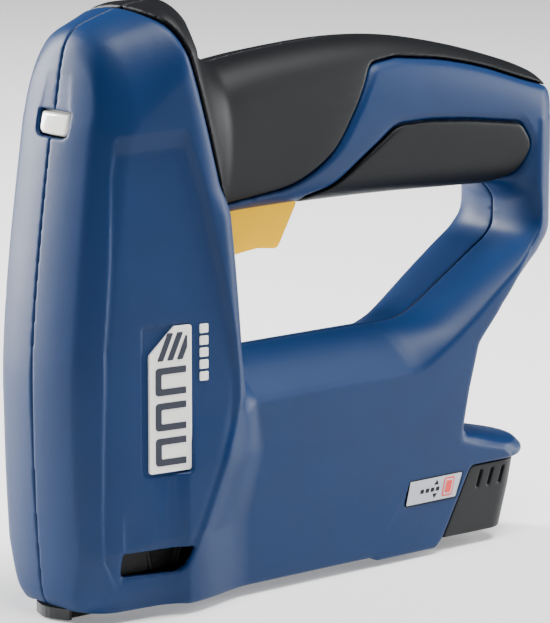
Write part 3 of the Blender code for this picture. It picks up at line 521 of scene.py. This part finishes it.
def piece_from(name, verts, faces, flip=False):
    """A Blender object from vertices in millimetres and quads."""
    if flip:
        verts = verts * (1, -1, 1)
        faces = faces[:, ::-1]
    mesh = bpy.data.meshes.new(name)
    mesh.vertices.add(len(verts))
    mesh.vertices.foreach_set("co", (verts * MM).astype(np.float32).ravel())
    mesh.loops.add(faces.size)
    mesh.loops.foreach_set("vertex_index", faces.astype(np.int32).ravel())
    mesh.polygons.add(len(faces))
    mesh.polygons.foreach_set("loop_start", np.arange(0, faces.size, 4, dtype=np.int32))
    mesh.polygons.foreach_set("use_smooth", np.ones(len(faces), bool))
    mesh.update(calc_edges=True)
    made = bpy.data.objects.new(name, mesh)
    bpy.context.scene.collection.objects.link(made)
    return made


def decimate(obj, share):
    """Keeps a share of an object's triangles."""
    modifier = obj.modifiers.new("thin", "DECIMATE")
    modifier.ratio = share
    graph = bpy.context.evaluated_depsgraph_get()
    mesh = bpy.data.meshes.new_from_object(obj.evaluated_get(graph))
    obj.modifiers.clear()
    obj.data = mesh


def finished(name, surface, share, look, flip=False):
    """A thinned, smooth and painted object of a surface net."""
    piece = piece_from(name, *surface, flip)
    decimate(piece, share)
    piece.data.shade_smooth()
    paint(piece, look)
    return piece


# ---------------------------------------------------------------- materials


def principled(name, colour, roughness, metallic=0.0, **sockets):
    """A plain material. sockets sets further shader inputs, with _ for each space."""
    made = bpy.data.materials.new(name)
    made.use_nodes = True
    shader = made.node_tree.nodes["Principled BSDF"]
    shader.inputs["Base Color"].default_value = (*colour, 1)
    shader.inputs["Roughness"].default_value = roughness
    shader.inputs["Metallic"].default_value = metallic
    for socket, value in sockets.items():
        shader.inputs[socket.replace("_", " ")].default_value = value
    return made


def grained(
    name, colour, roughness, grain_mm, depth_mm, tint=0.06, metallic=0.0, stretch=(1, 1, 1),
    **sockets,
):
    """A moulded surface: fine grain in its bump, slight mottling in its colour and roughness."""
    made = principled(name, colour, roughness, metallic, **sockets)
    tree = made.node_tree
    nodes, links = tree.nodes, tree.links
    shader = nodes["Principled BSDF"]
    place = nodes.new("ShaderNodeTexCoord")
    scale = nodes.new("ShaderNodeMapping")
    scale.inputs["Scale"].default_value = stretch
    links.new(place.outputs["Object"], scale.inputs["Vector"])
    grain = nodes.new("ShaderNodeTexNoise")
    grain.inputs["Scale"].default_value = 1 / (grain_mm * MM)
    grain.inputs["Detail"].default_value = 3
    grain.inputs["Roughness"].default_value = 0.6
    mottle = nodes.new("ShaderNodeTexNoise")
    mottle.inputs["Scale"].default_value = 60
    mottle.inputs["Detail"].default_value = 4
    for texture in (grain, mottle):
        links.new(scale.outputs["Vector"], texture.inputs["Vector"])
    bump = nodes.new("ShaderNodeBump")
    bump.inputs["Strength"].default_value = 1.0
    bump.inputs["Distance"].default_value = depth_mm * MM
    links.new(grain.outputs["Fac"], bump.inputs["Height"])
    links.new(bump.outputs["Normal"], shader.inputs["Normal"])
    colours = nodes.new("ShaderNodeValToRGB")
    colours.color_ramp.elements[0].position = 0.3
    colours.color_ramp.elements[1].position = 0.7
    colours.color_ramp.elements[0].color = (*[c * (1 - tint) for c in colour], 1)
    colours.color_ramp.elements[1].color = (*[min(1, c * (1 + tint)) for c in colour], 1)
    links.new(mottle.outputs["Fac"], colours.inputs["Fac"])
    links.new(colours.outputs["Color"], shader.inputs["Base Color"])
    rough = nodes.new("ShaderNodeMapRange")
    rough.inputs["To Min"].default_value = roughness - 0.05
    rough.inputs["To Max"].default_value = roughness + 0.05
    links.new(mottle.outputs["Fac"], rough.inputs["Value"])
    links.new(rough.outputs["Result"], shader.inputs["Roughness"])
    return made


BLUE = grained("blue_plastic", (0.0015, 0.020, 0.080), 0.45, 0.35, 0.05, Specular_IOR_Level=0.2)
NAVY = grained("navy_print", (0.004, 0.008, 0.024), 0.5, 0.4, 0.01, tint=0.03)
RUBBER = grained("grip_rubber", (0.0025, 0.0032, 0.0044), 0.5, 0.3, 0.03, Specular_IOR_Level=0.17)
YELLOW = grained(
    "yellow_plastic", (0.95, 0.52, 0.0), 0.4, 0.5, 0.015, tint=0.03, Specular_IOR_Level=0.05
)
CREAM = grained("cream_print", (0.82, 0.81, 0.78), 0.5, 0.4, 0.01, tint=0.02)
RED = grained("red_print", (0.75, 0.03, 0.025), 0.45, 0.4, 0.01, tint=0.03)
SILVER = grained("silver_film", (0.42, 0.44, 0.48), 0.35, 0.3, 0.01, tint=0.03, metallic=0.35)
DARK = grained("dark_plastic", (0.007, 0.008, 0.009), 0.5, 0.35, 0.04, Specular_IOR_Level=0.22)
BLACK = grained("black_plastic", (0.003, 0.003, 0.0035), 0.5, 0.4, 0.02, Specular_IOR_Level=0.2)
STEEL = grained(
    "brushed_steel", (0.5, 0.5, 0.52), 0.32, 0.15, 0.01, metallic=1.0, stretch=(1, 1, 12)
)
SCREW_STEEL = grained("screw_steel", (0.10, 0.10, 0.11), 0.4, 0.3, 0.01, metallic=0.8)
TOE_STEEL = grained("toe_steel", (0.02, 0.021, 0.023), 0.35, 0.2, 0.02, metallic=0.3)
LENS = grained("milky_lens", (0.80, 0.79, 0.74), 0.12, 2.0, 0.01, tint=0.03)
NYLON = grained("gear_nylon", (0.72, 0.71, 0.64), 0.45, 0.5, 0.01)
BOARD = grained("circuit_board", (0.02, 0.17, 0.07), 0.4, 0.5, 0.02)
CELL = grained("cell_wrap", (0.08, 0.32, 0.28), 0.35, 0.8, 0.01)


def paint(obj, look):
    """Gives every slot of an object one material."""
    if not obj.data.materials:
        obj.data.materials.append(look)
    for slot in obj.material_slots:
        slot.material = look


# ---------------------------------------------------------------- case and grips


def make_case():
    """Both halves of the case with their grips. The screws enter through the right half."""
    side = side_fields()
    corner = (GRID_X[0], GRID_Y[0], GRID_Z[0])
    for hand, screws, flip in (("left", False, False), ("right", True, True)):
        fields = housing_slices(side, screws)
        for part, look, nodes in (
            ("housing", BLUE, (f"housing_{hand}",)),
            ("front_grip", RUBBER, (f"grip_front_{hand}",)),
            ("rear_grip", RUBBER, (f"grip_rear_{hand}",)),
        ):
            surface = surface_net(fields[part], corner, STEP)
            piece = finished(f"{part}_{hand}_skin", surface, CASE_SHARE, look, flip)
            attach(piece, "case")
            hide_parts(*nodes)


# ---------------------------------------------------------------- small pieces


def small_grid(low, high, step):
    """Axes of a small box of space, and the same as three broadcast arrays."""
    axes = [np.arange(a, b + step, step) for a, b in zip(low, high)]
    return axes, (axes[0][:, None, None], axes[1][None, :, None], axes[2][None, None, :])


def rear_of_cap(z):
    """x of the magazine cap's rear end on the middle plane."""
    return np.interp(z, (3, 17, 26), (76.4, 80.6, 82.6))


def make_cap():
    """The magazine's cap, with three closed slots in each side and a hook that enters the case."""
    step = 0.4
    low = (45.0, -19.9, 2.0)
    axes, (x, y, z) = small_grid(low, (84.5, 19.9, 27.5), step)
    side = distance(fillet(CAP), axes[0], axes[2])[:, None, :]
    behind = np.maximum(x - rear_of_cap(z) + 9.2, 0)
    round_corner = np.hypot(np.maximum(np.abs(y) - 9.6, 0), behind) - 9.2
    solid = both(np.maximum(side, round_corner), np.abs(y) - 18.7, 0.7)
    solid = both(solid, round_corner * 0.97, 0.5)
    for start in (61.4, 66.2, 71.0):
        slant = start + 0.36 * (z - 18.4)
        slot = np.maximum(np.abs(x - slant - 0.55) - 0.55, band(z, 20.9, 2.7))
        solid = both(solid, -np.maximum(slot, 17.6 - np.abs(y)), 0.25)
    hook = within(band(x, 54, 6.6), np.abs(y) - 5.8, band(z, 12.2, 5.8))
    surface = surface_net(np.minimum(solid, hook), low, step)
    piece = finished("magazine_cap_skin", surface, PIECE_SHARE, DARK)
    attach(piece, "magazine")
    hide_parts("magazine_cap")


def make_slot_backings():
    """Dark trays behind the two lower side slots, each with a rib across it."""
    step = 0.5
    low = (-89.0, -25.0, 11.5)
    axes, (x, y, z) = small_grid(low, (-56.0, -12.0, 26.0), step)
    outline = distance(fillet(SLOT), axes[0], axes[2])[:, None, :]
    tray = both(outline - 1.8, band(y, -17.5, 1.2), 0.4)
    rim = both(band(outline, 1.2, 0.5), band(y, -18.6, 1.6), 0.3)
    rib = within(outline, np.abs(x + 74 + 0.2 * (z - 18)) - 0.6, band(y, -18.6, 1.0))
    surface = surface_net(joined(tray, rim, rib), low, step)
    for hand, flip in (("left", False), ("right", True)):
        piece = finished(f"slot_tray_{hand}", surface, PIECE_SHARE, BLACK, flip)
        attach(piece, "case")
        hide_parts(f"slot_backing_{hand}")


def make_lens():
    """The window's bowed lens, with a foot behind the case's wall."""
    step = 0.35
    low = (-96.0, -8.6, 142.0)
    _, (x, y, z) = small_grid(low, (-88.0, 8.6, 153.0), step)
    front = smooth_line(FRONT_LINE)
    face = np.interp(z, front[:, 1], front[:, 0]) + FRONT_R - np.sqrt(FRONT_R**2 - y * y)
    edge = window_field(y, z) + 0.65
    solid = both(edge, face + 0.55 - x, 1.1)
    foot = both(edge - 0.5, 2.2 + face - x, 0.3)
    solid = np.maximum(np.minimum(solid, foot), x + 89.6)
    piece = finished("window_lens", surface_net(solid, low, step), PIECE_SHARE, LENS)
    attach(piece, "case")
    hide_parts("indicator_lens")


def make_socket():
    """The round charging inlet with its pin."""
    step = 0.35
    low = (56.0, -6.4, 43.6)
    _, (x, y, z) = small_grid(low, (65.0, 6.4, 56.4), step)
    radius = np.hypot(y, z - SOCKET_Z)
    body = both(radius - 5.5, band(x, 60.2, 3.4), 0.5)
    bore = np.maximum(radius - 3.1, 58.5 - x)
    pin = both(radius - 0.9, band(x, 60.2, 2.4), 0.3)
    solid = np.minimum(both(body, -bore, 0.3), pin)
    piece = finished("charging_inlet_skin", surface_net(solid, low, step), PIECE_SHARE, DARK)
    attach(piece, "case")
    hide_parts("charging_socket")


def make_screws():
    """The six housing screws, each sunk in its hole with a cross recess in its head."""
    step = 0.3
    low = (-3.6, -9.0, -3.6)
    _, (x, y, z) = small_grid(low, (3.6, 2.7, 3.6), step)
    radius = np.hypot(x, z)
    head = both(radius - 3.1, band(y, 0.8, 1.0), 0.5)
    wide, narrow = 1.8, 0.45  # the cross recess's half-sizes
    across = within(np.abs(x) - wide, np.abs(z) - narrow)
    upright = within(np.abs(x) - narrow, np.abs(z) - wide)
    head = both(head, -within(joined(across, upright), 0.7 - y), 0.2)
    ridges = 0.12 * np.cos(2 * np.pi * y / 1.2)
    shank = within(radius - 1.35 + ridges, band(y, -3.6, 4.4))
    verts, faces = surface_net(np.minimum(head, shank), low, step)
    for number, (sx, sz, seat) in enumerate(SCREWS, 1):
        surface = (verts + (sx, seat, sz), faces)
        piece = finished(f"screw_{number}", surface, PIECE_SHARE, SCREW_STEEL)
        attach(piece, "case")
        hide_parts(f"housing_screw_{number}")


# ---------------------------------------------------------------- badge and label


def slab(name, outlines, low, high, place, look):
    """Flat pieces of one thickness on a side of the case, with a small chamfer round the top.

    place takes (along, out, up) to (x, y, z).
    """
    chamfer = 0.06
    work = bmesh.new()
    for outline in outlines:
        rings = []
        for level, shrink in ((low, 0.0), (high - chamfer, 0.0), (high, chamfer)):
            middle = outline.mean(0)
            span = np.abs(outline - middle).max()
            ring = middle + (outline - middle) * (1 - shrink / span)
            rings.append([work.verts.new([c * MM for c in place(a, level, b)]) for a, b in ring])
        work.faces.new(rings[0][::-1])
        work.faces.new(rings[-1])
        for lower, upper in zip(rings, rings[1:]):
            for k in range(len(lower)):
                work.faces.new((lower[k - 1], lower[k], upper[k], upper[k - 1]))
    bmesh.ops.recalc_face_normals(work, faces=work.faces)
    mesh = bpy.data.meshes.new(name)
    work.to_mesh(mesh)
    work.free()
    made = bpy.data.objects.new(name, mesh)
    bpy.context.scene.collection.objects.link(made)
    paint(made, look)
    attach(made, "case")
    return made


def on_badge(side):
    """A place function for the head's flared side; side is -1 for the left and 1 for the right."""
    length = math.hypot(1, BADGE_SLOPE)

    def place(along, out, up):
        x = BADGE_X + (along - BADGE_SLOPE * out) / length
        return x, side * (BADGE_Y + (BADGE_SLOPE * along + out) / length), up

    return place


def on_base(side):
    """A place function for the base's plain side."""
    return lambda along, out, up: (along, side * (LABEL_Y + out), up)


def lean(points, rate):
    """An outline sheared along with height."""
    points = np.array(points, float)
    points[:, 0] += rate * points[:, 1]
    return points


def bar(a, b, width, height, radius=0.4):
    """A rectangle from its lowest corner, with round corners."""
    return rounded(((a, b), (a + width, b), (a + width, b + height), (a, b + height)), radius)


def staple_mark(a, b, width, height, thick):
    """A staple lying on its side, its legs pointing to higher a."""
    tip, back = a + width, a + thick
    top = b + height
    lower_leg = ((a, b, 1.2), (tip, b, 0.2), (tip, b + thick, 0.2), (back, b + thick, 0.5))
    upper_leg = ((back, top - thick, 0.5), (tip, top - thick, 0.2), (tip, top, 0.2), (a, top, 1.2))
    return fillet((*lower_leg, *upper_leg))


def make_badge(hand, side):
    """A pale plate with three staples and three slanted bars, and a column of bars beside it."""
    place = on_badge(side)
    plate = rounded(((-6.2, 44.9), (8.4, 44.9), (8.4, 88.6), (2.5, 88.6), (-6.2, 80.5)), 0.8)
    made = slab(f"badge_plate_{hand}", [plate], -0.7, 0.22, place, CREAM)
    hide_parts(f"badge_{hand}")
    marks = [staple_mark(-4.2, b, 10.6, 8.4, 2.0) for b in (47.0, 57.6, 68.2)]
    slanted = [((a, 78.6), (a + 2, 78.6), (a + 5.6, 86.8), (a + 3.6, 86.8)) for a in (-3.6, -0.2)]
    slanted.append(((3.2, 78.6), (5.2, 78.6), (6.8, 82.2), (6.8, 86.8)))
    stripes = [rounded(corners, 0.3) for corners in slanted]
    slab(f"badge_marks_{hand}", marks + stripes, 0.1, 0.4, place, NAVY)
    dashes = [bar(11.4, b, 2.9, 2.7) for b in (71.2, 74.8, 78.4, 82.0, 85.6)]
    slab(f"badge_dashes_{hand}", dashes, -0.3, 0.18, place, CREAM)


def make_label(hand, side):
    """A small silver plate with short bars, two triangles and a red mark."""
    place = on_base(side)
    corners = np.array([(a, b) for a, b, _ in LABEL])
    middle = corners.mean(0)
    grown = middle + (corners - middle) * (1.025, 1.09)
    border = [rounded(grown, 0.5)]
    slab(f"label_border_{hand}", border, -0.5, 0.08, place, BLACK)
    plate = slab(f"label_plate_{hand}", [fillet(LABEL)], -0.5, 0.16, place, SILVER)
    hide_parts(f"label_{hand}")
    rate = 0.25
    up = rounded(lean(((35.5, 22.4), (37.5, 22.4), (36.5, 24.0)), rate), 0.1)
    down = rounded(lean(((35.5, 19.7), (36.5, 18.1), (37.5, 19.7)), rate), 0.1)
    dashes = [lean(bar(a, 20.4, 1.5, 1.3, 0.2), rate) for a in (30.0, 32.2, 34.4, 36.6)]
    slab(f"label_marks_{hand}", [up, down, *dashes], 0.1, 0.24, place, BLACK)
    ring = [lean(bar(39.6, 18.2, 4.6, 5.9, 0.9), rate)]
    slab(f"label_red_{hand}", ring, 0.1, 0.24, place, RED)
    pale = [lean(bar(40.1, 18.7, 3.6, 4.9, 0.6), rate)]
    slab(f"label_pale_{hand}", pale, 0.12, 0.29, place, SILVER)
    core = [lean(bar(40.6, 19.2, 2.6, 3.9, 0.4), rate)]
    slab(f"label_core_{hand}", core, 0.14, 0.34, place, RED)


# ---------------------------------------------------------------- carried-over nodes


def soften(node, width_mm):
    """Rounds a CAD node's edges."""
    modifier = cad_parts[node].modifiers.new("edges", "BEVEL")
    modifier.width = width_mm * MM
    modifier.segments = 3
    modifier.limit_method = "ANGLE"
    modifier.angle_limit = math.radians(35)
    modifier.harden_normals = False


def dress_nodes():
    """Gives every CAD node the look of the longest name it starts with, or else steel."""
    looks = {
        "trigger": YELLOW, "trigger_spring": STEEL, "indicator_board": BOARD,
        "control_board": BOARD, "battery": CELL, "nose_plate": TOE_STEEL, "nose_block": BLACK,
        "motor_end_cap": DARK, "microswitch": DARK, "switch_plunger": DARK,
        "staple_pusher": DARK, "spring_seat": NYLON, "cam_gear": NYLON, "second_gear": NYLON,
        "first_gear": NYLON,
    }
    for name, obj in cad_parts.items():
        words = [word for word in looks if name.startswith(word)]
        paint(obj, looks[max(words, key=len)] if words else STEEL)
    for node, width_mm in (("trigger", 1.0), ("nose_plate", 0.3), ("nose_block", 0.2)):
        soften(node, width_mm)


def press_springs():
    """Gives each spring a mesh of its own and finds a point on its fixed end, here in metres."""
    for node, joint, axis, fixed_end, travel in (
        ("trigger_spring", "trigger_pull", 2, 0.13705, 0.005),
        ("pusher_spring", "pusher_slide", 0, 0.0456, 0.09),
        ("main_spring", "striker_lift", 2, 0.1097, 0.01405),
    ):
        low, high = (np.array(corner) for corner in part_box(node))
        anchor = (low + high) / 2
        anchor[axis] = fixed_end
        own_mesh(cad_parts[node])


# ---------------------------------------------------------------- studio

# Area lights: name, place and size in metres, power in watts.
LIGHTS = (
    ("front", (-0.62, 1.22, 0.5), (0.3, 1.0), 74),
    ("side", (1.4, -0.5, 0.35), (0.4, 0.8), 26),
    ("upper_side", (0.6, -0.45, 1.3), (0.5, 0.4), 10),
    ("top", (0.1, -0.3, 1.4), (0.9, 0.6), 36),
)
LIT_POINT = (-0.02, 0, 0.09)
FLOOR_SIZE = 60
FLOOR_DROP = 0.0005  # keeps the floor and the nose's lower face apart
WHITE = (1, 1, 1, 1)


def area_light(name, place, size, power):
    """A rectangular light that faces LIT_POINT."""
    light = bpy.data.lights.new(name, "AREA")
    light.shape = "RECTANGLE"
    light.size, light.size_y = size
    light.energy = power
    made = bpy.data.objects.new(name, light)
    made.location = place
    made.rotation_euler = (Vector(LIT_POINT) - Vector(place)).to_track_quat("-Z", "Y").to_euler()
    bpy.context.scene.collection.objects.link(made)


def make_studio():
    """A pale floor, a dim world and the lights."""
    mesh = bpy.data.meshes.new("floor")
    work = bmesh.new()
    bmesh.ops.create_grid(work, x_segments=1, y_segments=1, size=FLOOR_SIZE)
    work.to_mesh(mesh)
    work.free()
    floor = bpy.data.objects.new("floor", mesh)
    floor.location.z = -FLOOR_DROP
    bpy.context.scene.collection.objects.link(floor)
    pale = principled("floor_pale", (0.8, 0.8, 0.8), 0.9, Emission_Strength=0.28)
    pale.node_tree.nodes["Principled BSDF"].inputs["Emission Color"].default_value = WHITE
    paint(floor, pale)
    world = bpy.data.worlds.new("studio")
    world.use_nodes = True
    background = world.node_tree.nodes["Background"]
    background.inputs["Color"].default_value = WHITE
    background.inputs["Strength"].default_value = 0.05
    bpy.context.scene.world = world
    for name, place, size, power in LIGHTS:
        area_light(name, place, size, power)


def make_camera():
    """A long lens on a front corner, a little above the object's middle."""
    camera = bpy.data.cameras.new("camera")
    camera.lens = 243.4
    camera.sensor_width = 36
    made = bpy.data.objects.new("camera", camera)
    azimuth, elevation, far = math.radians(-41), math.radians(11), 1.3
    target = Vector((-0.0074, 0, 0.0813))
    level = Vector((math.sin(azimuth), -math.cos(azimuth), 0))
    away = level * math.cos(elevation) + Vector((0, 0, math.sin(elevation)))
    made.location = target + away * far
    made.rotation_euler = (-away).to_track_quat("-Z", "Y").to_euler()
    bpy.context.scene.collection.objects.link(made)
    bpy.context.scene.camera = made


make_case()
make_cap()
make_slot_backings()
make_lens()
make_socket()
make_screws()
for hand, side in (("left", -1), ("right", 1)):
    make_badge(hand, side)
    make_label(hand, side)
dress_nodes()
press_springs()
make_studio()
make_camera()
